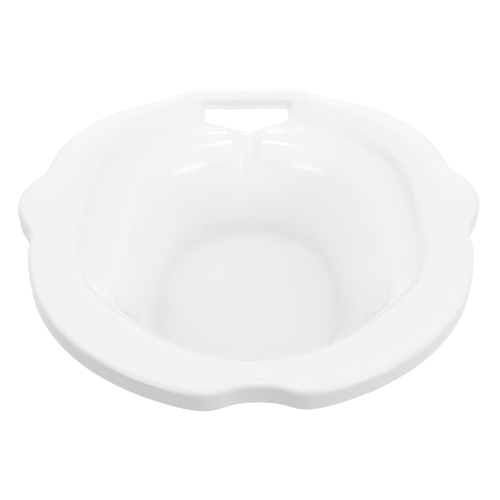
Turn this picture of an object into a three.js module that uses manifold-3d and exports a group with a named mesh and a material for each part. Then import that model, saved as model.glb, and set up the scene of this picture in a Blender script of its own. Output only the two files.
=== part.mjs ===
// Toilet-top basin (portable bidet / sitz bath), one white polypropylene moulding.
//
// Frame: millimetres, +Z up, X to the side, -Y towards the notch in the front edge, +Y towards the handle bar.
// The origin is below the middle of the outline, on the surface that the flat floor stands on.
//
// The moulding is a thin shell that is described by one radial section. The section starts at the skirt's
// lower edge, climbs the skirt, rounds over onto the rim deck, steps down to the ledge, rounds over the bowl's
// mouth, drops down the wall and ends in the middle of the floor. Every corner of that section is a function
// of u, the angle in degrees from the front (0) round either side to the back (180), so the left and right
// halves mirror each other. The shell is then divided where one moulded feature ends and the next begins.
import * as THREE from 'three';
import Module from 'manifold-3d';

// ---- driving dimensions ----
const HEIGHT = 102;          // floor underside to the crown of the rim
const WALL = 2.4;            // shell thickness
const SKIRT_HEIGHT = 24;     // turned-down edge, below the rim
const SKIRT_EDGE_R = 6;      // rounding between skirt and rim deck
const DECK_CROWN = 1.2;      // the deck's middle stands this much above its two edges
const FLOOR_DEPTH = HEIGHT - WALL; // rim crown to the floor's upper face
const SLOT_HALF = 42.4;      // half length of the finger slot
const SLOT_BACK = 176.6;     // the slot's back edge, a few millimetres in front of the handle's inner flange
const GROOVE_DEPTH = 4.6;    // overflow groove
const GROOVE_HALF = 15;      // its half width at the slot
const GAP = 0.3;             // between two neighbouring features
const MIDDLE_Y = 2.29;       // the outline's middle lies this far behind the centre that the section turns about

// Radii and depths against u. Depths are measured down from the rim's crown.
const OUTLINE = [[0, 187.6], [3, 188.3], [6, 190.9], [9, 196.2], [12, 200.1], [15, 201.1], [18, 201.6],
  [21, 201.7], [24, 201.9], [27, 202.4], [30, 202.9], [36, 203.9], [42, 205.2], [48, 206.2], [54, 207],
  [60, 207.3], [66, 207.1], [72, 206], [78, 204.6], [81, 204], [82.5, 203.4], [84, 202.4], [85.5, 201.9],
  [87, 202.4], [88.5, 203.7], [90, 206.4], [93, 213], [96, 218], [98, 219.7], [100, 220.7], [102, 220.5],
  [105, 217.9], [107, 214.9], [109, 211.9], [111, 210.3], [113, 210.6], [117, 213.5], [120, 215.3], [124, 216.4],
  [129, 216.2], [135, 214.9], [141, 212.3], [147, 208.6], [150, 206.4], [153, 204.9], [156, 204.5], [159, 205.4],
  [162, 207.3], [163.4, 207.8], [164.6, 207.4], [166, 206.1], [168, 204.2], [171, 202.3], [174, 200.9],
  [177, 200.4], [180, 200.3]];
const STEP_TOP = [[0, 161.8], [10, 161.8], [20, 160.6], [30, 159.3], [40, 158.4], [50, 159.6], [60, 162.4],
  [69, 163.4], [80, 160.6], [90, 158], [97, 158], [105, 161], [112, 165], [118, 168.4], [128, 170.8], [141, 174.6],
  [150, 175.4], [155, 176], [158, 179], [160.5, 184.6], [162, 188.2], [163.4, 188], [166, 186], [170, 183.4],
  [175, 181.3], [180, 180.6]];
const STEP_TOP_R = [[0, 9], [50, 7], [65, 6], [150, 6], [161, 5], [166.4, 3.2], [180, 3.2]]; // rounding at the top of the step
const STEP_RUN = [[0, 5], [50, 4.4], [65, 4], [90, 4.5], [112, 4.5], [122, 6], [132, 11], [142, 14], [150, 17],
  [157, 19], [162, 20], [164, 15], [166.4, 1.8], [168.5, 0.9], [180, 0.6]];
const STEP_DEPTH = [[0, 5.4], [50, 5.8], [62, 8.4], [75, 9], [140, 10], [162, 10], [166.4, 8.6], [180, 8.5]];
const STEP_R = [[0, 10], [50, 8], [65, 7], [140, 8], [155, 9], [162, 7], [165.8, 0.9], [180, 0.9]]; // and at its foot
const MOUTH = [[0, 151.6], [20, 150.9], [40, 149], [50, 149.4], [55, 148.6], [59, 145], [65.6, 134.6], [72, 126],
  [80, 118.8], [90, 115.4], [101, 115], [110, 117], [120, 119.6], [132, 119.6], [145, 117.5], [160, 114],
  [170, 112.4], [180, 112]];
const MOUTH_DEPTH = [[0, 10], [50, 10.4], [60, 12], [75, 12.4], [120, 13], [150, 13.6], [180, 14]];
const MOUTH_R = [[0, 12], [50, 12], [62, 11], [80, 13], [120, 16], [145, 22], [160, 26], [180, 26]];
const FLOOR = [[0, 99], [15, 99], [30, 98.4], [40, 97.8], [50, 96.8], [58, 94.6], [62, 93.8],
  [67, 93.2], [72, 92], [83, 87.8], [90, 86], [107, 86.2], [120.6, 88.3], [139, 90], [156.5, 91], [168, 88.6],
  [180, 87.7]];
const FLOOR_R = [[0, 20], [40, 18], [58, 12], [75, 9], [180, 9]]; // rounding between wall and floor
const WALL_KR = [[0, 0.5], [30, 0.5], [50, 0.47], [75, 0.5], [180, 0.5]]; // the wall's middle corner: share of the run
const WALL_KZ = [[0, 0.54], [30, 0.54], [50, 0.56], [75, 0.56], [180, 0.55]]; // and share of the drop

// Smooth curve through a table of [u, value], level at both ends.
function curve(table, u) {
  const n = table.length;
  if (u <= table[0][0]) return table[0][1];
  if (u >= table[n - 1][0]) return table[n - 1][1];
  let i = 0;
  while (u > table[i + 1][0]) i += 1;
  const slope = (k) => (k <= 0 || k >= n - 1 ? 0 : (table[k + 1][1] - table[k - 1][1]) / (table[k + 1][0] - table[k - 1][0]));
  const [x0, y0] = table[i];
  const [x1, y1] = table[i + 1];
  const h = x1 - x0;
  const t = (u - x0) / h;
  return y0 * (2 * t ** 3 - 3 * t * t + 1) + slope(i) * h * (t ** 3 - 2 * t * t + t)
    + y1 * (3 * t * t - 2 * t ** 3) + slope(i + 1) * h * (t ** 3 - t * t);
}

// Corners of the section at u: [radius, height, corner rounding, rounding steps].
function corners(u) {
  const ro = curve(OUTLINE, u);
  const rs = curve(STEP_TOP, u);
  const rb = rs - curve(STEP_RUN, u);
  const zb = curve(STEP_DEPTH, u);
  const rm = curve(MOUTH, u);
  const zm = curve(MOUTH_DEPTH, u);
  const rf = curve(FLOOR, u);
  const kr = curve(WALL_KR, u);
  const kz = curve(WALL_KZ, u);
  return [
    [ro, -SKIRT_HEIGHT, 0, 0],
    [ro, -DECK_CROWN, SKIRT_EDGE_R, 3],
    [(ro + rs) / 2, 0, 90, 1],
    [rs, -DECK_CROWN, curve(STEP_TOP_R, u), 2],
    [rb, -zb, curve(STEP_R, u), 2],
    [rm, -zm, curve(MOUTH_R, u), 3],
    [rm - kr * (rm - rf), -zm - kz * (FLOOR_DEPTH - zm), 80, 2],
    [rf, -FLOOR_DEPTH, curve(FLOOR_R, u), 2],
    [0, -FLOOR_DEPTH, 0, 0],
  ];
}
// Where each rounding starts in the finished section.
const RING = { edge: 0, deck: 4, inner: 7, flange: 12, mouthEnd: 16, floor: 20, centre: 23 };

// The section with its corners rounded, as [radius, height] points on the upper face.
function section(u) {
  const c = corners(u);
  const out = [[c[0][0], c[0][1]]];
  for (let i = 1; i < c.length - 1; i += 1) {
    const [x, z, radius, steps] = c[i];
    const a = [c[i - 1][0] - x, c[i - 1][1] - z];
    const b = [c[i + 1][0] - x, c[i + 1][1] - z];
    const la = Math.hypot(...a);
    const lb = Math.hypot(...b);
    const cos = (a[0] * b[0] + a[1] * b[1]) / (la * lb);
    const half = Math.acos(Math.max(-1, Math.min(1, cos))) / 2; // half the corner's inside angle
    const cut = Math.min(radius / Math.tan(half), 0.46 * la, 0.46 * lb);
    const p0 = [x + a[0] / la * cut, z + a[1] / la * cut];
    const p2 = [x + b[0] / lb * cut, z + b[1] / lb * cut];
    for (let s = 0; s <= steps; s += 1) {
      const t = s / steps;
      // rational arc between the two tangent points
      const w = Math.sin(half);
      const q0 = (1 - t) ** 2;
      const q1 = 2 * t * (1 - t) * w;
      const q2 = t * t;
      const q = q0 + q1 + q2;
      out.push([(q0 * p0[0] + q1 * x + q2 * p2[0]) / q, (q0 * p0[1] + q1 * z + q2 * p2[1]) / q]);
    }
  }
  const last = c[c.length - 1];
  out.push([last[0], last[1]]);
  return out;
}

function normals(points) {
  return points.map((p, i) => {
    const a = points[Math.max(0, i - 1)];
    const b = points[Math.min(points.length - 1, i + 1)];
    const before = i > 0 ? [p[0] - a[0], p[1] - a[1]] : [b[0] - p[0], b[1] - p[1]];
    const after = i < points.length - 1 ? [b[0] - p[0], b[1] - p[1]] : before;
    const l0 = Math.hypot(...before);
    const l1 = Math.hypot(...after);
    const t = [before[0] / l0 + after[0] / l1, before[1] / l0 + after[1] / l1];
    const l = Math.hypot(...t);
    const n = [t[1] / l, -t[0] / l];
    const half = (n[0] * before[1] - n[1] * before[0]) / l0; // cosine of half the turn
    return [n[0], n[1], 1 / Math.max(0.6, half)];
  });
}

const smooth = (a, b, x) => { const t = Math.max(0, Math.min(1, (x - a) / (b - a))); return t * t * (3 - 2 * t); };

// The overflow groove: how far the shell is pressed down at a point.
function groove(theta, r, z) {
  if (Math.cos(theta) > -0.8) return 0;
  const x = Math.abs(r * Math.sin(theta));
  const half = GROOVE_HALF - 4 * smooth(-14, -40, z);
  const across = 1 - smooth(0.25, 1, x / half);
  const along = (1 - 0.72 * smooth(126, 143, r)) * (1 - smooth(150, 172, r)); // shallow where it meets the slot
  return GROOVE_DEPTH * across * smooth(-46, -20, z) * along;
}

// Upper and lower points of the shell along the section at theta (radians), cut down to rings from..to.
// A cut end is drawn back by half the gap, unless it is a free edge.
function strip(theta, from, to) {
  const u = Math.abs(THREE.MathUtils.radToDeg(Math.atan2(Math.sin(theta), Math.cos(theta))));
  const points = section(u);
  const n = normals(points);
  const upper = [];
  const lower = [];
  points.forEach(([r, z], i) => {
    const d = groove(theta, r, z);
    upper.push([r - n[i][0] * d, z - n[i][1] * d]);
    lower.push([r - n[i][0] * (d + WALL * n[i][2]), z - n[i][1] * (d + WALL * n[i][2])]);
  });
  const draw = (list, at, towards) => {
    const p = list[at];
    const q = list[towards];
    const l = Math.hypot(q[0] - p[0], q[1] - p[1]);
    return [p[0] + (q[0] - p[0]) / l * GAP / 2, p[1] + (q[1] - p[1]) / l * GAP / 2];
  };
  const cut = (list) => {
    const part = list.slice(from, to + 1);
    if (from > 0) part[0] = draw(list, from, from + 1);
    if (to < RING.centre) part[part.length - 1] = draw(list, to, to - 1);
    return part;
  };
  const place = ([r, z]) => [r * Math.sin(theta), -r * Math.cos(theta), z + HEIGHT];
  return { upper: cut(upper).map(place), lower: cut(lower).map(place) };
}

// Angles at which the section is drawn, in degrees from the front.
const STATIONS = [0, 4, 8, 12, 16, 22, 30, 38, 44, 50, 56, 60, 64, 69, 75, 80, 83, 85, 87.5, 91, 95, 98.5, 102, 105.5, 108.5,
  111.5, 116, 122, 129, 136, 143, 150, 155, 158.5, 161, 163.5, 165, 166.4, 168.5, 172, 176, 180];
const ALL = [...STATIONS.slice(1, -1).map((u) => -u), ...STATIONS].sort((a, b) => a - b); // -180 < theta <= 180

function geometry(vertices, faces) {
  const g = new THREE.BufferGeometry();
  g.setAttribute('position', new THREE.Float32BufferAttribute(vertices.flat(), 3));
  g.setIndex(faces.flat());
  return g;
}

// A closed piece of the shell between two angles (degrees, a < b; b may pass 180) and two rings.
function piece(a, b, from, to) {
  const list = [a];
  for (const turn of [-360, 0, 360]) for (const s of ALL) { const v = s + turn; if (v > a + 0.6 && v < b - 0.6) list.push(v); }
  list.push(b);
  list.sort((p, q) => p - q);
  const rMid = section(Math.abs(a > 180 ? 360 - a : a))[from][0];
  const inset = THREE.MathUtils.radToDeg((GAP / 2) / (rMid * 0.8));
  list[0] += inset;
  list[list.length - 1] -= inset;
  const strips = list.map((d) => strip(THREE.MathUtils.degToRad(d), from, to));
  const m = strips[0].upper.length;
  const vertices = [];
  strips.forEach((s) => { vertices.push(...s.upper, ...s.lower); });
  const up = (i, j) => i * 2 * m + j;
  const lo = (i, j) => i * 2 * m + m + j;
  const faces = [];
  const quad = (p, q, r, s) => { faces.push([p, q, r], [p, r, s]); };
  for (let i = 0; i < strips.length - 1; i += 1) {
    for (let j = 0; j < m - 1; j += 1) {
      quad(up(i, j), up(i + 1, j), up(i + 1, j + 1), up(i, j + 1));
      quad(lo(i, j), lo(i, j + 1), lo(i + 1, j + 1), lo(i + 1, j));
    }
    quad(up(i, 0), lo(i, 0), lo(i + 1, 0), up(i + 1, 0));
    quad(up(i, m - 1), up(i + 1, m - 1), lo(i + 1, m - 1), lo(i, m - 1));
  }
  for (let j = 0; j < m - 1; j += 1) {
    quad(up(0, j), up(0, j + 1), lo(0, j + 1), lo(0, j));
    const e = strips.length - 1;
    quad(up(e, j), lo(e, j), lo(e, j + 1), up(e, j + 1));
  }
  return geometry(vertices, faces);
}

// The floor, a closed dish with one middle point above and one below.
function dish(from) {
  const strips = ALL.map((d) => strip(THREE.MathUtils.degToRad(d), from, RING.centre));
  const m = strips[0].upper.length - 1;
  const vertices = [];
  strips.forEach((s) => { vertices.push(...s.upper.slice(0, m), ...s.lower.slice(0, m)); });
  vertices.push(strips[0].upper[m], strips[0].lower[m]);
  const top = vertices.length - 2;
  const bottom = vertices.length - 1;
  const n = strips.length;
  const up = (i, j) => (i % n) * 2 * m + j;
  const lo = (i, j) => (i % n) * 2 * m + m + j;
  const faces = [];
  const quad = (p, q, r, s) => { faces.push([p, q, r], [p, r, s]); };
  for (let i = 0; i < n; i += 1) {
    for (let j = 0; j < m - 1; j += 1) {
      quad(up(i, j), up(i + 1, j), up(i + 1, j + 1), up(i, j + 1));
      quad(lo(i, j), lo(i, j + 1), lo(i + 1, j + 1), lo(i + 1, j));
    }
    quad(up(i, 0), lo(i, 0), lo(i + 1, 0), up(i + 1, 0));
    faces.push([up(i, m - 1), up(i + 1, m - 1), top], [lo(i, m - 1), bottom, lo(i + 1, m - 1)]);
  }
  return geometry(vertices, faces);
}

// ---- the finger slot, a straight cut with a shallow V in its front edge ----
function slotGeometry() {
  const s = new THREE.Shape();
  const c = 3; // corner rounding
  s.moveTo(-SLOT_HALF + c, SLOT_BACK);
  s.lineTo(-SLOT_HALF, SLOT_BACK - c);
  s.lineTo(-SLOT_HALF, 161);
  s.lineTo(-SLOT_HALF + 1.4, 158.4);
  s.lineTo(-30, 152.8);
  s.lineTo(-13, 146.6);
  s.lineTo(-6.5, 144.7);
  s.lineTo(0, 144);
  s.lineTo(6.5, 144.7);
  s.lineTo(13, 146.6);
  s.lineTo(30, 152.8);
  s.lineTo(SLOT_HALF - 1.4, 158.4);
  s.lineTo(SLOT_HALF, 161);
  s.lineTo(SLOT_HALF, SLOT_BACK - c);
  s.lineTo(SLOT_HALF - c, SLOT_BACK);
  s.closePath();
  const g = new THREE.ExtrudeGeometry(s, { depth: 60, bevelEnabled: false });
  g.translate(0, 0, HEIGHT - 50);
  return g;
}

const wasm = await Module();
wasm.setup();

function solid(g) {
  const position = g.getAttribute('position');
  const index = g.getIndex();
  const key = new Map();
  const verts = [];
  const remap = [];
  for (let i = 0; i < position.count; i += 1) {
    const p = [position.getX(i), position.getY(i), position.getZ(i)];
    const k = p.map((v) => v.toFixed(5)).join();
    if (!key.has(k)) { key.set(k, verts.length / 3); verts.push(...p); }
    remap.push(key.get(k));
  }
  const order = index ? Array.from(index.array) : Array.from({ length: position.count }, (_, i) => i);
  const tris = [];
  for (let i = 0; i < order.length; i += 3) {
    const [a, b, c] = [remap[order[i]], remap[order[i + 1]], remap[order[i + 2]]];
    if (a !== b && b !== c && a !== c) tris.push(a, b, c);
  }
  return new wasm.Manifold(new wasm.Mesh({ numProp: 3, vertProperties: new Float32Array(verts), triVerts: new Uint32Array(tris) }));
}

function fromSolid(m) {
  const mesh = m.getMesh();
  const g = new THREE.BufferGeometry();
  g.setAttribute('position', new THREE.BufferAttribute(new Float32Array(mesh.vertProperties), 3));
  g.setIndex(new THREE.BufferAttribute(new Uint32Array(mesh.triVerts), 1));
  return g;
}

const slot = solid(slotGeometry());
const slotted = (g) => fromSolid(solid(g).subtract(slot));

const white = (roughness = 0.32) => new THREE.MeshStandardMaterial({ color: 0xf1f2f2, roughness, metalness: 0 });
const group = new THREE.Group();
function add(name, g, roughness) {
  g.computeVertexNormals();
  const mesh = new THREE.Mesh(g, white(roughness));
  mesh.name = name;
  mesh.position.y = -MIDDLE_Y;
  group.add(mesh);
}

const NOTCH = 16;      // the notch lip reaches this far each side of the front
const EAR_A = 83;      // an ear starts and ends here
const EAR_B = 111.5;
const BAR = 163.5;     // the handle bar starts here
const LIP = 56;        // the front lip meets the ledge here

add('front_notch_lip', piece(-NOTCH, NOTCH, RING.edge, RING.inner));
add('skirt_front_left', piece(-EAR_A, -NOTCH, RING.edge, RING.deck));
add('skirt_front_right', piece(NOTCH, EAR_A, RING.edge, RING.deck));
add('skirt_back_left', piece(-BAR, -EAR_B, RING.edge, RING.deck));
add('skirt_back_right', piece(EAR_B, BAR, RING.edge, RING.deck));
add('rim_deck_front_left', piece(-EAR_A, -NOTCH, RING.deck, RING.inner));
add('rim_deck_front_right', piece(NOTCH, EAR_A, RING.deck, RING.inner));
add('rim_deck_back_left', piece(-BAR, -EAR_B, RING.deck, RING.inner));
add('rim_deck_back_right', piece(EAR_B, BAR, RING.deck, RING.inner));
add('grip_ear_left', piece(-EAR_B, -EAR_A, RING.edge, RING.inner));
add('grip_ear_right', piece(EAR_A, EAR_B, RING.edge, RING.inner));
add('handle_bar', slotted(piece(BAR, 360 - BAR, RING.edge, RING.flange)));
add('ledge_left', piece(-BAR, -LIP, RING.inner, RING.mouthEnd));
add('ledge_right', piece(LIP, BAR, RING.inner, RING.mouthEnd));
add('front_inner_lip', piece(-LIP, LIP, RING.inner, RING.mouthEnd));
add('overflow_spout', slotted(piece(BAR, 360 - BAR, RING.flange, RING.mouthEnd)));
add('bowl_wall_front', piece(-LIP, LIP, RING.mouthEnd, RING.floor), 0.28);
add('bowl_wall_right', piece(LIP, 136, RING.mouthEnd, RING.floor), 0.28);
add('bowl_wall_back', piece(136, 224, RING.mouthEnd, RING.floor), 0.28);
add('bowl_wall_left', piece(-136, -LIP, RING.mouthEnd, RING.floor), 0.28);
add('basin_floor', dish(RING.floor), 0.28);

export default group;
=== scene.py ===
# The looks of the toilet-top basin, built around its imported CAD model.
import math

import bpy
import numpy as np
from mathutils import Matrix


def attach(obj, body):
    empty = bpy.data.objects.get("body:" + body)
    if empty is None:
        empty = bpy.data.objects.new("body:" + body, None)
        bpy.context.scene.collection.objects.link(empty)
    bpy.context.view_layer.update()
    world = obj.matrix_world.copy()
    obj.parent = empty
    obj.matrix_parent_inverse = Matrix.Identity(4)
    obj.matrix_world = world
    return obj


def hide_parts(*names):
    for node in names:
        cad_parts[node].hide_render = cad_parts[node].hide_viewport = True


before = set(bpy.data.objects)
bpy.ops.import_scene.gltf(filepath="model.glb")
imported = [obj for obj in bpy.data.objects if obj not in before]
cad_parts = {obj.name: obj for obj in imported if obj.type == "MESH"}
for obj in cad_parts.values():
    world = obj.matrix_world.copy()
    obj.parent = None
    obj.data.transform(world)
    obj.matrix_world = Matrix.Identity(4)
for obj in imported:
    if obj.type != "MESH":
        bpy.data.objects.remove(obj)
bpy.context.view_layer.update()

# ---------------------------------------------------------------- dimensions, in millimetres, as in the CAD model
HEIGHT = 102.0
WALL = 2.4
BEAD = WALL / 2
SKIRT_HEIGHT = 24.0
SKIRT_EDGE_R = 6.0
DECK_CROWN = 1.2
FLOOR_DEPTH = HEIGHT - WALL
MIDDLE_Y = 2.29
GROOVE_DEPTH = 4.6
GROOVE_HALF = 15.0

TABLES = {
    "OUTLINE": ([[0, 187.6], [3, 188.3], [6, 190.9], [9, 196.2], [12, 200.1], [15, 201.1], [18, 201.6], [21, 201.7],
        [24, 201.9], [27, 202.4], [30, 202.9], [36, 203.9], [42, 205.2], [48, 206.2], [54, 207], [60, 207.3],
        [66, 207.1], [72, 206], [78, 204.6], [81, 204], [82.5, 203.4], [84, 202.4], [85.5, 201.9], [87, 202.4],
        [88.5, 203.7], [90, 206.4], [93, 213], [96, 218], [98, 219.7], [100, 220.7], [102, 220.5], [105, 217.9],
        [107, 214.9], [109, 211.9], [111, 210.3], [113, 210.6], [117, 213.5], [120, 215.3], [124, 216.4],
        [129, 216.2], [135, 214.9], [141, 212.3], [147, 208.6], [150, 206.4], [153, 204.9], [156, 204.5],
        [159, 205.4], [162, 207.3], [163.4, 207.8], [164.6, 207.4], [166, 206.1], [168, 204.2], [171, 202.3],
        [174, 200.9], [177, 200.4], [180, 200.3]], 0.7),
    "STEP_TOP": ([[0, 161.8], [10, 161.8], [20, 160.6], [30, 159.3], [40, 158.4], [50, 159.6], [60, 162.4],
        [69, 163.4], [80, 160.6], [90, 158], [97, 158], [105, 161], [112, 165], [118, 168.4], [128, 170.8],
        [141, 174.6], [150, 175.4], [155, 176], [158, 179], [160.5, 184.6], [162, 188.2], [163.4, 188], [166, 186],
        [170, 183.4], [175, 181.3], [180, 180.6]], 0.9),
    "STEP_TOP_R": ([[0, 9], [50, 7], [65, 6], [150, 6], [161, 5], [166.4, 3.2], [180, 3.2]], 2),
    "STEP_RUN": ([[0, 5], [50, 4.4], [65, 4], [90, 4.5], [112, 4.5], [122, 6], [132, 11], [142, 14], [150, 17],
        [157, 19], [162, 20], [164, 15], [166.4, 1.8], [168.5, 0.9], [180, 0.6]], 0.6),
    "STEP_DEPTH": ([[0, 5.4], [50, 5.8], [62, 8.4], [75, 9], [140, 10], [162, 10], [166.4, 8.6], [180, 8.5]], 1.5),
    "STEP_R": ([[0, 10], [50, 8], [65, 7], [140, 8], [155, 9], [162, 7], [165.8, 0.9], [180, 0.9]], 0.6),
    "MOUTH": ([[0, 151.6], [20, 150.9], [40, 149], [50, 149.4], [55, 148.6], [59, 145], [65.6, 134.6], [72, 126],
        [80, 118.8], [90, 115.4], [101, 115], [110, 117], [120, 119.6], [132, 119.6], [145, 117.5], [160, 114],
        [170, 112.4], [180, 112]], 3),
    "MOUTH_DEPTH": ([[0, 10], [50, 10.4], [60, 12], [75, 12.4], [120, 13], [150, 13.6], [180, 14]], 3),
    "MOUTH_R": ([[0, 12], [50, 12], [62, 11], [80, 13], [120, 16], [145, 22], [160, 26], [180, 26]], 3),
    "FLOOR": ([[0, 99], [15, 99], [30, 98.4], [40, 97.8], [50, 96.8], [58, 94.6], [62, 93.8], [67, 93.2],
        [72, 92], [83, 87.8], [90, 86], [107, 86.2], [120.6, 88.3], [139, 90], [156.5, 91], [168, 88.6],
        [180, 87.7]], 2),
    "FLOOR_R": ([[0, 20], [40, 18], [58, 12], [75, 9], [180, 9]], 3),
    "WALL_KR": ([[0, 0.5], [30, 0.5], [50, 0.47], [75, 0.5], [180, 0.5]], 3),
    "WALL_KZ": ([[0, 0.54], [30, 0.54], [50, 0.56], [75, 0.56], [180, 0.55]], 3),
}
GRID = np.arange(0, 180.0001, 0.05)


def lut(rows, sigma):
    """A table's smooth curve, sampled on GRID and softened over sigma degrees, level at both ends."""
    t = np.array(rows, float)
    x, y = t[:, 0], t[:, 1]
    slope = np.zeros(len(t))
    slope[1:-1] = (y[2:] - y[:-2]) / (x[2:] - x[:-2])
    i = np.clip(np.searchsorted(x, GRID, side="left") - 1, 0, len(t) - 2)
    h = x[i + 1] - x[i]
    q = (GRID - x[i]) / h
    v = (y[i] * (2 * q**3 - 3 * q**2 + 1) + slope[i] * h * (q**3 - 2 * q**2 + q)
         + y[i + 1] * (3 * q**2 - 2 * q**3) + slope[i + 1] * h * (q**3 - q**2))
    k = int(4 * sigma / 0.05)
    w = np.exp(-0.5 * (np.arange(-k, k + 1) * 0.05 / sigma) ** 2)
    ext = np.concatenate([v[1:k + 1][::-1], v, v[-k - 1:-1][::-1]])
    return np.convolve(ext, w / w.sum(), mode="valid")


LUT = {k: lut(*v) for k, v in TABLES.items()}
# the bar's straight back edge and straight inner edge, kept straight between their corners
straight = GRID > 164.9
LUT["OUTLINE"] = np.where(straight, 200.3 / np.cos(np.radians(180 - GRID)), LUT["OUTLINE"])


def smooth(a, b, x):
    t = np.clip((np.asarray(x, float) - a) / (b - a), 0, 1)
    return t * t * (3 - 2 * t)


def value(name, u):
    return np.interp(u, GRID, LUT[name])


Q_DECK, Q_INNER, Q_FLANGE, Q_MOUTH, Q_FLOOR, Q_CENTRE = 2, 5, 8, 10, 13, 15


def corner_list(u):
    ro, rs = value("OUTLINE", u), value("STEP_TOP", u)
    rb = rs - value("STEP_RUN", u)
    zb = value("STEP_DEPTH", u)
    rm, zm = value("MOUTH", u), value("MOUTH_DEPTH", u)
    rf = value("FLOOR", u)
    kr, kz = value("WALL_KR", u), value("WALL_KZ", u)
    one = np.ones_like(ro)
    return [
        (ro, -(SKIRT_HEIGHT - BEAD) * one, None),
        (ro, -DECK_CROWN * one, SKIRT_EDGE_R * one),
        ((ro + rs) / 2, -0.08 * one, 90 * one),
        (rs, -DECK_CROWN * one, value("STEP_TOP_R", u)),
        (rb, -zb, value("STEP_R", u)),
        (rm, -zm, value("MOUTH_R", u)),
        (rm - kr * (rm - rf), -zm - kz * (FLOOR_DEPTH - zm), 80 * one),
        (rf, -FLOOR_DEPTH * one, value("FLOOR_R", u)),
        (0 * one, -FLOOR_DEPTH * one, None),
    ]


def section(theta, q):
    """Radius and height of the upper face at angle theta (radians from the front) and section coordinate q."""
    theta = np.asarray(theta, float)
    q = np.asarray(q, float)
    u = np.abs(np.degrees(np.arctan2(np.sin(theta), np.cos(theta))))
    c = corner_list(u)
    starts, ends, mids = [], [], []
    for i in range(1, 8):
        x, z, radius = c[i]
        ax, az = c[i - 1][0] - x, c[i - 1][1] - z
        bx, bz = c[i + 1][0] - x, c[i + 1][1] - z
        la, lb = np.hypot(ax, az), np.hypot(bx, bz)
        half = np.arccos(np.clip((ax * bx + az * bz) / (la * lb), -1, 1)) / 2
        cut = np.minimum(np.minimum(radius / np.tan(half), 0.46 * la), 0.46 * lb)
        starts.append((x + ax / la * cut, z + az / la * cut))
        ends.append((x + bx / lb * cut, z + bz / lb * cut))
        mids.append((x, z, np.sin(half)))
    r = np.zeros_like(q)
    h = np.zeros_like(q)
    k = np.clip(np.floor(q), 0, 14).astype(int)
    t = q - k
    for s in range(15):
        m = k == s
        if not m.any():
            continue
        if s % 2 == 0:  # straight run
            i = s // 2
            p = ends[i - 1] if i > 0 else c[0][:2]
            e = starts[i] if i < 7 else c[8][:2]
            r[m] = (p[0] + (e[0] - p[0]) * t)[m]
            h[m] = (p[1] + (e[1] - p[1]) * t)[m]
        else:  # rounded corner
            i = (s - 1) // 2
            w = mids[i][2]
            q0, q1, q2 = (1 - t) ** 2, 2 * t * (1 - t) * w, t * t
            tot = q0 + q1 + q2
            r[m] = ((q0 * starts[i][0] + q1 * mids[i][0] + q2 * ends[i][0]) / tot)[m]
            h[m] = ((q0 * starts[i][1] + q1 * mids[i][1] + q2 * ends[i][1]) / tot)[m]
    return r, h


def surface_plain(theta, q):
    """A point of the upper face without its small relief, in millimetres."""
    r, h = section(theta, q)
    d = 1e-3
    r1, h1 = section(theta, np.minimum(q + d, 15))
    r0, h0 = section(theta, np.maximum(q - d, 0))
    tr, tz = r1 - r0, h1 - h0
    tl = np.maximum(np.hypot(tr, tz), 1e-12)
    nr, nz = tz / tl, -tr / tl  # points out of the plastic, up on the deck
    x = r * np.sin(theta)
    # overflow groove at the back
    half = GROOVE_HALF - 4 * smooth(-14, -40, h)
    across = 1 - smooth(0.25, 1, np.abs(x) / half)
    along = (1 - 0.72 * smooth(126, 143, r)) * (1 - smooth(150, 172, r))
    g = GROOVE_DEPTH * across * smooth(-46, -20, h) * along * (np.cos(theta) < -0.8)
    return r - nr * g, h - nz * g


def relief(x, y, h):
    """Small relief of the upper face, in millimetres up: moulding marks and the soft ridge round the front notch."""
    up = np.zeros_like(x)
    deck = smooth(-3.5, -1.5, h)
    # soft ridge that follows the notch, 15 mm in from its edge
    edge = -188.3 - 6.6 * smooth(6, 44, np.abs(x))
    ridge = np.exp(-((y - (edge + 15 - 9 * smooth(20, 48, np.abs(x)))) / 4.2) ** 2) * (1 - smooth(38, 54, np.abs(x)))
    bed = np.exp(-((y - (edge + 15)) / 11.0) ** 2) * (1 - smooth(38, 60, np.abs(x)))
    up += 0.25 * (ridge - bed) * deck
    # two moulding marks: a lens-shaped one on the front deck and a round one on the handle bar
    for cx, cy, ax, ay, depth in ((0.6, -182.2, 7.6, 2.2, 1.1), (-0.9, 189.4, 3.5, 3.2, 1.0)):
        d = np.sqrt(((x - cx) / ax) ** 2 + ((y - cy) / ay) ** 2)
        up += deck * (-depth * (1 - smooth(0.15, 1.0, d)) + 0.06 * np.exp(-((d - 1.12) / 0.12) ** 2))
    # two low swells each side of the overflow groove, in front of the finger slot
    ax = np.abs(x)
    ledge = smooth(-20, -16, h) * (1 - smooth(-8, -6, h)) * smooth(100, 112, y)
    up += 0.62 * np.exp(-((y - 142.6) / 3.0) ** 2) * smooth(15, 23, ax) * (1 - smooth(56, 66, ax)) * ledge
    up += 0.30 * np.exp(-((y - (128.5 + 0.10 * ax)) / 3.0) ** 2) * smooth(14, 21, ax) * (1 - smooth(42, 50, ax)) * ledge
    # the gate's low boss at the back of the floor, and a vestige in its middle
    up += np.where(h < -95, 1.35 * np.exp(-((x / 6.0) ** 2 + ((y - 72.0) / 5.0) ** 2)), 0)
    d = np.hypot(x, y - 44)
    up += np.where(h < -95, 0.35 * (1 - smooth(2.6, 3.4, d)) - 0.25 * (1 - smooth(0.9, 1.6, d)), 0)
    return up


def surface(theta, q):
    r, h = surface_plain(theta, q)
    x, y = r * np.sin(theta), -r * np.cos(theta)
    h = h + relief(x, y, h)
    return np.stack([x, y - MIDDLE_Y, h + HEIGHT], axis=-1)


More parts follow.
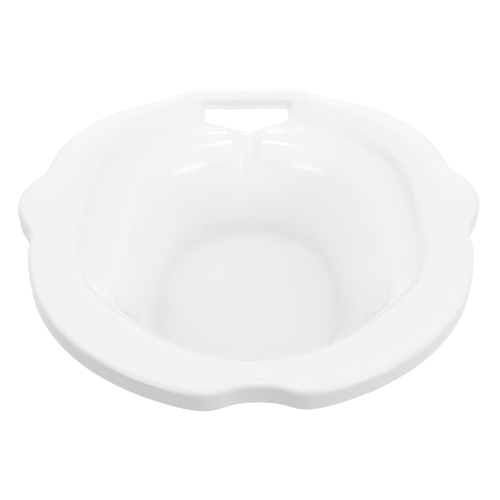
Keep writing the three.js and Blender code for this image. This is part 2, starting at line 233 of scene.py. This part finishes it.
def surface_and_normal(theta, q):
    theta, q = np.broadcast_arrays(np.asarray(theta, float), np.asarray(q, float))
    p = surface(theta, q)
    dt = 2e-3
    dq = 4e-3
    a = surface(theta + dt, q) - surface(theta - dt, q)
    b = surface(theta, np.minimum(q + dq, 15)) - surface(theta, np.maximum(q - dq, 0))
    n = np.cross(a, b)
    l = np.linalg.norm(n, axis=-1, keepdims=True)
    n = np.where(l > 1e-9, n / np.maximum(l, 1e-9), np.array([0.0, 0.0, 1.0]))
    return p, n


# ---------------------------------------------------------------- closed pieces of the shell
def make_object(name, verts, faces, loop_normals):
    mesh = bpy.data.meshes.new(name)
    mesh.from_pydata((np.asarray(verts) / 1000).tolist(), [], faces)
    mesh.polygons.foreach_set("use_smooth", [True] * len(faces))
    mesh.update()
    mesh.normals_split_custom_set(loop_normals)
    obj = bpy.data.objects.new(name, mesh)
    bpy.context.scene.collection.objects.link(obj)
    return obj


class Builder:
    def __init__(self):
        self.verts, self.norms, self.faces, self.flat = [], [], [], []

    def add(self, p, n):
        start = len(self.verts)
        self.verts.extend(p.reshape(-1, 3).tolist())
        self.norms.extend(n.reshape(-1, 3).tolist())
        return np.arange(start, start + p.reshape(-1, 3).shape[0]).reshape(p.shape[:-1])

    def quads(self, a, b, c, d, flat=False):
        for f in zip(a.ravel().tolist(), b.ravel().tolist(), c.ravel().tolist(), d.ravel().tolist()):
            self.faces.append(f)
            self.flat.append(flat)

    def poly(self, f, flat=True):
        self.faces.append(tuple(int(i) for i in f))
        self.flat.append(flat)

    def finish(self, name):
        v = np.array(self.verts)
        n = np.array(self.norms)
        loops = []
        for f, flat in zip(self.faces, self.flat):
            if flat:
                p = v[list(f)]
                m = np.zeros(3)
                for i in range(len(f)):
                    m += np.cross(p[i] - p[0], p[(i + 1) % len(f)] - p[0])
                m /= max(np.linalg.norm(m), 1e-12)
                loops.extend([m.tolist()] * len(f))
            else:
                loops.extend(n[list(f)].tolist())
        return make_object(name, v, self.faces, loops)


BEAD_STEPS = 6


def shell_piece(name, thetas, q, free_start=None, free_end=None, closed=False):
    """A closed piece of the shell on columns thetas and rows q (columns x rows). free_start and free_end are the
    column ranges whose first or last row is an open edge of the moulding, which gets a rounded bead."""
    th = np.asarray(thetas, float)[:, None] + 0 * q
    top, n = surface_and_normal(th, q)
    low = top - WALL * n
    b = Builder()
    T = b.add(top, n)
    L = b.add(low, -n)
    cols, rows = q.shape
    i = np.arange(cols if closed else cols - 1)
    i2 = (i + 1) % cols
    j = np.arange(rows - 1)
    I, J = np.meshgrid(i, j, indexing="ij")
    I2, _ = np.meshgrid(i2, j, indexing="ij")
    b.quads(T[I, J], T[I2, J], T[I2, J + 1], T[I, J + 1])
    b.quads(L[I, J], L[I, J + 1], L[I2, J + 1], L[I2, J])

    def edge(row, first, free):
        lo, hi = free if free else (0, 0)
        tp, lw, nn = top[:, row], low[:, row], n[:, row]
        beads = None
        if free:
            run = np.arange(lo, hi + 1)
            if closed:
                tangent = np.roll(tp, -1, 0) - np.roll(tp, 1, 0)
            else:
                tangent = np.gradient(tp, axis=0)
            out = np.cross(nn, tangent)
            out /= np.linalg.norm(out, axis=1, keepdims=True)
            inward = top[:, row + (1 if first else -1)] - tp
            out *= -np.sign((out * inward).sum(1, keepdims=True))
            mid, half = (tp + lw) / 2, (tp - lw) / 2
            radius = np.linalg.norm(half, axis=1, keepdims=True)
            unit = half / radius
            ph = np.linspace(0, np.pi, BEAD_STEPS + 1)[1:-1]
            ring = np.stack([mid + half * np.cos(p) + radius * out * np.sin(p) for p in ph], axis=1)
            rn = np.stack([unit * np.cos(p) + out * np.sin(p) for p in ph], axis=1)
            beads = {int(k): b.add(ring[k], rn[k]) for k in run}
        for k in range(cols if closed else cols - 1):
            k2 = (k + 1) % cols
            if free and k in beads and k2 in beads and (closed or lo <= k < hi):
                a = [T[k, row], *beads[k], L[k, row]]
                c = [T[k2, row], *beads[k2], L[k2, row]]
                for s in range(len(a) - 1):
                    f = (a[s], a[s + 1], c[s + 1], c[s]) if first else (a[s], c[s], c[s + 1], a[s + 1])
                    b.poly(f, flat=False)
            else:
                a, a2, c, c2 = T[k, row], L[k, row], T[k2, row], L[k2, row]
                b.poly((a, a2, c2, c) if first else (a, c, c2, a2))
        return beads

    s_beads = edge(0, True, free_start)
    e_beads = edge(rows - 1, False, free_end)
    if not closed:
        for k, last in ((0, False), (cols - 1, True)):
            for m in range(rows - 1):
                f = (T[k, m], T[k, m + 1], L[k, m + 1], L[k, m])
                b.poly(f[::-1] if last else f)
    # close the half-round ends of the beads
    for beads, row, first, free in ((s_beads, 0, True, free_start), (e_beads, rows - 1, False, free_end)):
        if beads and not closed:
            for k, at_end in ((free[0], False), (free[1], True)):
                f = [T[k, row], *beads[k], L[k, row]]
                if first:
                    b.poly(f if at_end else f[::-1])
                else:
                    b.poly(f[::-1] if at_end else f)
    return b, T, L


NOTCH, EAR_A, EAR_B, BAR, LIP, BACK = 16.0, 83.0, 111.5, 163.5, 56.0, 136.0


def stations(a, b):
    """Columns between two angles in degrees, closer together where the outline turns quickly."""
    base = np.arange(-360, 540.01, 1.25)
    extra = []
    for lo, hi, step in ((0, 4, 0.35), (4, 19, 0.75), (80, 92, 0.5), (92, 114, 0.75), (157, 167.5, 0.4)):
        s = np.arange(lo, hi + 1e-6, step)
        extra += [s, -s, 360 - s, s - 360]
    allv = np.unique(np.round(np.concatenate([base] + extra), 4))
    keep = allv[(allv > a + 0.3) & (allv < b - 0.3)]
    out = [a]
    for v in keep:
        if v - out[-1] > 0.28:
            out.append(v)
    out.append(b)
    return np.radians(np.array(out))


def rows(a, b, fine=False):
    """Section rows between two section coordinates; fine ones carry small marks on the rim."""
    steps = [5, 8, 4, 4, 4, 8, 6, 8, 10, 14, 10, 8, 10, 12, 14]
    if fine:
        steps[2], steps[3] = 18, 8
    out = [np.linspace(k, k + 1, steps[k] + 1)[:-1] for k in range(a, b)]
    return np.concatenate(out + [[b]])


def band(name, a, b, qa, qb, fine=False):
    th = stations(a, b)
    r = rows(qa, qb, fine)
    q = np.tile(r, (len(th), 1))
    free = (0, len(th) - 1) if qa == 0 else None
    builder, _, _ = shell_piece(name, th, q, free_start=free)
    return builder.finish(name)


def floor_piece(name):
    th = stations(-180, 180)[:-1]
    r = rows(Q_FLOOR, Q_CENTRE)[:-1]
    q = np.tile(r, (len(th), 1))
    top, n = surface_and_normal(th[:, None] + 0 * q, q)
    low = top - WALL * n
    b = Builder()
    T, L = b.add(top, n), b.add(low, -n)
    cols, m = q.shape
    i = np.arange(cols)
    I, J = np.meshgrid(i, np.arange(m - 1), indexing="ij")
    I2 = (I + 1) % cols
    b.quads(T[I, J], T[I2, J], T[I2, J + 1], T[I, J + 1])
    b.quads(L[I, J], L[I, J + 1], L[I2, J + 1], L[I2, J])
    c = b.add(np.array([[0, -MIDDLE_Y, WALL], [0, -MIDDLE_Y, 0.0]]), np.array([[0, 0, 1.0], [0, 0, -1.0]]))
    for k in range(cols):
        k2 = (k + 1) % cols
        b.poly((T[k, 0], L[k, 0], L[k2, 0], T[k2, 0]))
        b.poly((T[k, m - 1], T[k2, m - 1], c[0]), flat=False)
        b.poly((L[k2, m - 1], L[k, m - 1], c[1]), flat=False)
    return b.finish(name)


# ---------------------------------------------------------------- the finger slot
def rounded(points, radii, step=0.5):
    """A closed outline with each corner rounded, as closely spaced points."""
    pts = np.array(points, float)
    out = []
    for i in range(len(pts)):
        p, a, b = pts[i], pts[i - 1] - pts[i], pts[(i + 1) % len(pts)] - pts[i]
        la, lb = np.linalg.norm(a), np.linalg.norm(b)
        half = math.acos(max(-1, min(1, a @ b / (la * lb)))) / 2
        cut = min(radii[i] / math.tan(half), 0.48 * la, 0.48 * lb)
        s, e, w = p + a / la * cut, p + b / lb * cut, math.sin(half)
        for t in np.linspace(0, 1, 17):
            k = ((1 - t) ** 2, 2 * t * (1 - t) * w, t * t)
            out.append((k[0] * s + k[1] * p + k[2] * e) / sum(k))
    out = np.array(out)
    closed = np.vstack([out, out[:1]])
    l = np.r_[0, np.cumsum(np.linalg.norm(np.diff(closed, axis=0), axis=1))]
    at = np.arange(0, l[-1], step)
    return np.c_[np.interp(at, l, closed[:, 0]), np.interp(at, l, closed[:, 1])]


SLOT = [(0, 176.2), (42.4, 176.2), (42.4, 158.3), (30, 152.8), (13, 146.9), (0, 143.2),
        (-13, 146.9), (-30, 152.8), (-42.4, 158.3), (-42.4, 176.2)]
slot_line = rounded(SLOT, [1, 3.2, 2.6, 40, 40, 9, 40, 40, 2.6, 3.2])
tan = np.roll(slot_line, -1, 0) - np.roll(slot_line, 1, 0)
nor = np.c_[-tan[:, 1], tan[:, 0]]
nor /= np.linalg.norm(nor, axis=1, keepdims=True)
centre = np.array([0, 165.0])
if ((slot_line - centre) * nor).sum() < 0:
    nor = -nor
slot_big = slot_line + nor * BEAD
side = np.degrees(np.arctan2(slot_big[:, 0], slot_big[:, 1]))  # angle from the back, + on the +X side
radius = np.hypot(slot_big[:, 0], slot_big[:, 1])
i_t = int(np.argmax(side))
TIP = float(side[i_t])       # the ray that only touches the slot's corner
R_TIP = float(radius[i_t])
right = slot_big[:, 0] > -0.2
order = np.arange(len(slot_big))


def branch(outer):
    """Radius of the slot's far (outer) or near edge against the angle from the back."""
    m = (slot_big[:, 0] >= -0.3) & ((radius > np.interp(side, [0, TIP], [160, R_TIP])) if outer else
                                    (radius <= np.interp(side, [0, TIP], [160, R_TIP])))
    s, r = side[m], radius[m]
    k = np.argsort(s)
    return np.r_[s[k], TIP], np.r_[r[k], R_TIP]


OUT_S, OUT_R = branch(True)
IN_S, IN_R = branch(False)


def q_at_radius(theta, r, lo, hi):
    """Section coordinate where the radius falls to r."""
    theta, r = np.broadcast_arrays(theta, r)
    a, b = np.full(theta.shape, float(lo)), np.full(theta.shape, float(hi))
    for _ in range(40):
        m = (a + b) / 2
        rr, _ = surface_plain(theta, m)
        far = rr > r
        a, b = np.where(far, m, a), np.where(far, b, m)
    return (a + b) / 2


def q_at_height(theta, h, lo, hi):
    a, b = np.full(theta.shape, float(lo)), np.full(theta.shape, float(hi))
    for _ in range(40):
        m = (a + b) / 2
        _, hh = surface_plain(theta, m)
        high = hh > h
        a, b = np.where(high, m, a), np.where(high, b, m)
    return (a + b) / 2


def slot_columns(s, r):
    """Angles (degrees from the back, one side) that follow an edge of the slot evenly, ending at its tip."""
    x, y = r * np.sin(np.radians(s)), r * np.cos(np.radians(s))
    l = np.r_[0, np.cumsum(np.hypot(np.diff(x), np.diff(y)))]
    n = int(l[-1] / 1.1)
    out = np.interp(np.linspace(0, l[-1], n + 1), l, s)
    keep = [out[0]]
    for v in out[1:]:
        if v - keep[-1] > 0.02:
            keep.append(v)
    keep[0], keep[-1] = 0.0, TIP
    return np.array(keep)


def both_sides(one, far):
    """Columns from one side of the back to the other, and the range inside the slot's two tips."""
    beyond = np.linspace(TIP, 180 - BAR, 6)[1:]
    half = np.r_[one, beyond]
    full = np.r_[-half[::-1], half[1:]]
    lo = len(half) - len(one)
    hi = len(full) - 1 - lo
    return np.radians(180 + full), np.abs(full), (lo, hi)


def shared_q(off):
    """The line where bar and spout meet outside the slot's tips."""
    q_tip = q_at_radius(np.radians(np.array([180 - TIP])), np.array([R_TIP]), 6.0, 10.0)[0]
    return q_tip + (Q_FLANGE - q_tip) * smooth(TIP, 180 - BAR, off)


def handle_piece(name):
    th, off, free = both_sides(slot_columns(OUT_S, OUT_R), True)
    inside = off <= TIP + 1e-9
    q_side = q_at_radius(th, np.interp(np.minimum(off, TIP), OUT_S, OUT_R), 6.0, 10.0)
    q_end = np.where(inside, q_side, shared_q(off))
    head = rows(0, 6, True)
    tail = 6 + np.linspace(0, 1, 11)[1:][None, :] * (q_end[:, None] - 6)
    q = np.hstack([np.tile(head, (len(th), 1)), tail])
    b, _, _ = shell_piece(name, th, q, free_start=(0, len(th) - 1), free_end=free)
    return b.finish(name)


def spout_piece(name):
    th, off, free = both_sides(slot_columns(IN_S, IN_R), False)
    inside = off <= TIP + 1e-9
    q_edge = q_at_radius(th, np.interp(np.minimum(off, TIP), IN_S, IN_R), 7.0, 10.0)
    q0 = np.where(inside, q_edge, shared_q(off))
    head = q0[:, None] + np.linspace(0, 1, 17)[None, :] * (9 - q0[:, None])
    tail = np.tile(rows(9, 10)[1:], (len(th), 1))
    b, _, _ = shell_piece(name, th, np.hstack([head, tail]), free_start=free)
    return b.finish(name)


# ---------------------------------------------------------------- material: semi-gloss moulded polypropylene
def plastic(name):
    mat = bpy.data.materials.new(name)
    mat.use_nodes = True
    nt = mat.node_tree
    nt.nodes.clear()
    N, K = nt.nodes.new, nt.links.new
    out = N("ShaderNodeOutputMaterial")
    bsdf = N("ShaderNodeBsdfPrincipled")
    K(bsdf.outputs["BSDF"], out.inputs["Surface"])
    bsdf.inputs["IOR"].default_value = 1.49
    bsdf.inputs["Specular IOR Level"].default_value = 0.5
    co = N("ShaderNodeTexCoord")

    def noise(scale, detail, rough, dist=0.0, stretch=None):
        src = co.outputs["Object"]
        if stretch:
            m = N("ShaderNodeMapping")
            m.inputs["Scale"].default_value = stretch[0]
            m.inputs["Rotation"].default_value = stretch[1]
            K(src, m.inputs["Vector"])
            src = m.outputs["Vector"]
        n = N("ShaderNodeTexNoise")
        n.inputs["Scale"].default_value = scale
        n.inputs["Detail"].default_value = detail
        n.inputs["Roughness"].default_value = rough
        n.inputs["Distortion"].default_value = dist
        K(src, n.inputs["Vector"])
        return n.outputs["Fac"]

    def ramp(fac, a, b, lo, hi):
        r = N("ShaderNodeMapRange")
        r.inputs["From Min"].default_value = a
        r.inputs["From Max"].default_value = b
        r.inputs["To Min"].default_value = lo
        r.inputs["To Max"].default_value = hi
        K(fac, r.inputs["Value"])
        return r.outputs["Result"]

    def math_(op, a, b):
        m = N("ShaderNodeMath")
        m.operation = op
        for k, v in enumerate((a, b)):
            if isinstance(v, (int, float)):
                m.inputs[k].default_value = v
            else:
                K(v, m.inputs[k])
        return m.outputs["Value"]

    # colour: soft flow clouds of the melt, and a fine mottle
    cloud = noise(9.0, 3.0, 0.55, 0.4)
    mottle = noise(160.0, 2.0, 0.5)
    mix = N("ShaderNodeMix")
    mix.data_type = "RGBA"
    mix.inputs["A"].default_value = (0.980, 0.980, 0.980, 1)
    mix.inputs["B"].default_value = (0.988, 0.988, 0.988, 1)
    K(ramp(math_("ADD", math_("MULTIPLY", cloud, 0.8), math_("MULTIPLY", mottle, 0.2)), 0.35, 0.65, 0, 1), mix.inputs["Factor"])
    K(mix.outputs["Result"], bsdf.inputs["Base Color"])
    # gloss: slightly patchy, duller in the cloudy places
    gloss = ramp(noise(26.0, 4.0, 0.6), 0.3, 0.7, 0.07, 0.10)
    K(gloss, bsdf.inputs["Roughness"])
    # relief: the mould's fine grain over the slow sink of cooling plastic
    grain = noise(1100.0, 2.0, 0.6)
    slow = noise(34.0, 2.0, 0.45)
    b1 = N("ShaderNodeBump")
    b1.inputs["Strength"].default_value = 0.5
    b1.inputs["Distance"].default_value = 0.00008
    K(slow, b1.inputs["Height"])
    b2 = N("ShaderNodeBump")
    b2.inputs["Strength"].default_value = 0.5
    b2.inputs["Distance"].default_value = 0.000012
    K(grain, b2.inputs["Height"])
    K(b1.outputs["Normal"], b2.inputs["Normal"])
    K(b2.outputs["Normal"], bsdf.inputs["Normal"])
    return mat


white = plastic("white_polypropylene")

# ---------------------------------------------------------------- the pieces
made = {}
made["front_notch_lip"] = band("notch_lip", -NOTCH, NOTCH, 0, Q_INNER, True)
made["skirt_front_left"] = band("skirt_fl", -EAR_A, -NOTCH, 0, Q_DECK)
made["skirt_front_right"] = band("skirt_fr", NOTCH, EAR_A, 0, Q_DECK)
made["skirt_back_left"] = band("skirt_bl", -BAR, -EAR_B, 0, Q_DECK)
made["skirt_back_right"] = band("skirt_br", EAR_B, BAR, 0, Q_DECK)
made["rim_deck_front_left"] = band("deck_fl", -EAR_A, -NOTCH, Q_DECK, Q_INNER)
made["rim_deck_front_right"] = band("deck_fr", NOTCH, EAR_A, Q_DECK, Q_INNER)
made["rim_deck_back_left"] = band("deck_bl", -BAR, -EAR_B, Q_DECK, Q_INNER)
made["rim_deck_back_right"] = band("deck_br", EAR_B, BAR, Q_DECK, Q_INNER)
made["grip_ear_left"] = band("ear_left", -EAR_B, -EAR_A, 0, Q_INNER)
made["grip_ear_right"] = band("ear_right", EAR_A, EAR_B, 0, Q_INNER)
made["handle_bar"] = handle_piece("bar")
made["ledge_left"] = band("ledge_l", -BAR, -LIP, Q_INNER, Q_MOUTH)
made["ledge_right"] = band("ledge_r", LIP, BAR, Q_INNER, Q_MOUTH)
made["front_inner_lip"] = band("inner_lip", -LIP, LIP, Q_INNER, Q_MOUTH)
made["overflow_spout"] = spout_piece("spout")
made["bowl_wall_front"] = band("wall_front", -LIP, LIP, Q_MOUTH, Q_FLOOR)
made["bowl_wall_right"] = band("wall_right", LIP, BACK, Q_MOUTH, Q_FLOOR)
made["bowl_wall_back"] = band("wall_back", BACK, 360 - BACK, Q_MOUTH, Q_FLOOR)
made["bowl_wall_left"] = band("wall_left", -BACK, -LIP, Q_MOUTH, Q_FLOOR)
made["basin_floor"] = floor_piece("floor")
for node, piece in made.items():
    piece.data.materials.append(white)
    piece.name = node + "_moulding"
    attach(piece, "root")
    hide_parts(node)

# ---------------------------------------------------------------- floor, light, camera
floor_mat = bpy.data.materials.new("pale_floor")
floor_mat.use_nodes = True
fb = floor_mat.node_tree.nodes["Principled BSDF"]
fb.inputs["Base Color"].default_value = (0.3, 0.3, 0.3, 1)
fb.inputs["Roughness"].default_value = 0.9
fb.inputs["Specular IOR Level"].default_value = 0.0
fb.inputs["Emission Color"].default_value = (1, 1, 1, 1)
fb.inputs["Emission Strength"].default_value = 0.9
fm = bpy.data.meshes.new("studio_floor")
S = 20.0
fm.from_pydata([(-S, -S, 0), (S, -S, 0), (S, S, 0), (-S, S, 0)], [], [(0, 1, 2, 3)])
fo = bpy.data.objects.new("studio_floor", fm)
fm.materials.append(floor_mat)
bpy.context.scene.collection.objects.link(fo)
fo.visible_diffuse = False
fo.visible_glossy = False


def area(name, size, power, loc, aim, color=(1, 1, 1), size_y=None):
    l = bpy.data.lights.new(name, "AREA")
    l.shape = "RECTANGLE" if size_y else "SQUARE"
    l.size = size
    if size_y:
        l.size_y = size_y
    l.energy = power
    l.color = color
    o = bpy.data.objects.new(name, l)
    d = np.array(aim, float) - np.array(loc, float)
    d /= np.linalg.norm(d)
    z = -d
    x = np.cross([0, 0.001, 1], z)
    x /= np.linalg.norm(x)
    y = np.cross(z, x)
    m = Matrix.Identity(4)
    for r in range(3):
        m[r][0], m[r][1], m[r][2], m[r][3] = x[r], y[r], z[r], loc[r]
    o.matrix_world = m
    bpy.context.scene.collection.objects.link(o)
    return o


# the studio: a white tent that is open, and darker, low on the side that the basin is seen from
world = bpy.data.worlds.new("studio")
world.use_nodes = True
wt = world.node_tree
tc = wt.nodes.new("ShaderNodeTexCoord")


def towards(direction, a, b, lo, hi):
    """Brightness that goes from lo to hi as the cosine to a direction goes from a to b."""
    v = wt.nodes.new("ShaderNodeVectorMath")
    v.operation = "DOT_PRODUCT"
    l = math.sqrt(sum(c * c for c in direction))
    v.inputs[1].default_value = [c / l for c in direction]
    wt.links.new(tc.outputs["Generated"], v.inputs[0])
    r = wt.nodes.new("ShaderNodeMapRange")
    r.interpolation_type = "SMOOTHSTEP"
    for k, x in (("From Min", a), ("From Max", b), ("To Min", lo), ("To Max", hi)):
        r.inputs[k].default_value = x
    wt.links.new(v.outputs["Value"], r.inputs["Value"])
    return r.outputs["Result"]


def combine(op, a, b):
    m = wt.nodes.new("ShaderNodeMath")
    m.operation = op
    for k, x in enumerate((a, b)):
        if isinstance(x, (int, float)):
            m.inputs[k].default_value = x
        else:
            wt.links.new(x, m.inputs[k])
    return m.outputs["Value"]


def aimed(azimuth, elevation):
    """Unit vector at an azimuth (degrees from +Y towards +X) and an elevation."""
    a, e = math.radians(azimuth), math.radians(elevation)
    return (math.sin(a) * math.cos(e), math.cos(a) * math.cos(e), math.sin(e))


front_dark = combine("MULTIPLY", towards((-0.41, -1.0, 0.0), 0.54, 0.70, 0.0, 1.0), towards((0, 0, 1), 0.3, 0.7, 1.0, 0.0))
below = towards((0, 0, -1), -0.15, 0.3, 1.0, 1.1)
glow = combine("MULTIPLY", combine("SUBTRACT", 0.772, combine("MULTIPLY", front_dark, 0.772)), below)
glow = combine("ADD", glow, towards((0, 0, 1), 0.6, 0.95, 0.0, 0.14))
# a pale backdrop low behind the handle bar, and a large soft umbrella each side of the camera
backdrop = combine("MULTIPLY", towards((0.02, 1.0, 0.62), 0.93, 0.985, 0.0, 0.7), towards((0, 0, 1), 0.60, 0.70, 1.0, 0.0))
glow = combine("ADD", glow, backdrop)
glow = combine("ADD", glow, towards(aimed(134, 21), 0.9397, 0.9945, 0.0, 2.3))
glow = combine("ADD", glow, towards(aimed(-135, 18), 0.9397, 0.9945, 0.0, 2.95))
bg = wt.nodes["Background"]
bg.inputs["Color"].default_value = (1, 1, 1, 1)
wt.links.new(glow, bg.inputs["Strength"])
bpy.context.scene.world = world


def softbox(name, azimuth, elevation, distance, width, height, radiance, aim, half_spread):
    """A rectangular light seen from aim at an azimuth (degrees from +Y towards +X) and an elevation, with a honeycomb
    grid in front of it that lets light out half_spread degrees to each side."""
    d = np.array(aimed(azimuth, elevation))
    loc = np.array(aim) + d * distance
    a = math.radians(half_spread)
    grid = (math.tan(a) - a) / math.tan(a)  # the grid gathers the light; this keeps the brightness seen from aim
    o = area(name, width, radiance * grid * math.pi * width * height, loc.tolist(), aim, size_y=height)
    o.data.spread = 2 * a
    return o


softbox("top_lamp", 1.0, 66, 0.8, 0.11, 0.064, 9.0, (0.0, 0.13, 0.09), 8.0)

F_PX, ELEV, AZIM, ROLL, DIST = 1100.0, math.radians(46.0), math.radians(-1.798), math.radians(0.478), 985.21
AIM_X, AIM_Y = 1.452, 36.83
back = np.array([math.sin(AZIM) * math.cos(ELEV), -math.cos(AZIM) * math.cos(ELEV), math.sin(ELEV)])
rt = np.cross(-back, [0, 0, 1.0])
rt /= np.linalg.norm(rt)
up = np.cross(rt, -back)
cam_r = rt * math.cos(ROLL) + up * math.sin(ROLL)
cam_u = -rt * math.sin(ROLL) + up * math.cos(ROLL)
pos = (back * DIST - np.array([AIM_X, AIM_Y + MIDDLE_Y, -HEIGHT])) / 1000
cam_data = bpy.data.cameras.new("camera")
cam_data.sensor_width = 36
cam_data.lens = F_PX / 500 * 36
cam_data.clip_end = 50
cam = bpy.data.objects.new("camera", cam_data)
m = Matrix.Identity(4)
for r in range(3):
    m[r][0], m[r][1], m[r][2], m[r][3] = cam_r[r], cam_u[r], back[r], pos[r]
cam.matrix_world = m
bpy.context.scene.collection.objects.link(cam)
bpy.context.scene.camera = cam
bpy.context.scene.view_settings.view_transform = "Standard"
bpy.context.scene.view_settings.look = "None"
bpy.context.scene.cycles.max_bounces = 24
bpy.context.scene.cycles.diffuse_bounces = 16
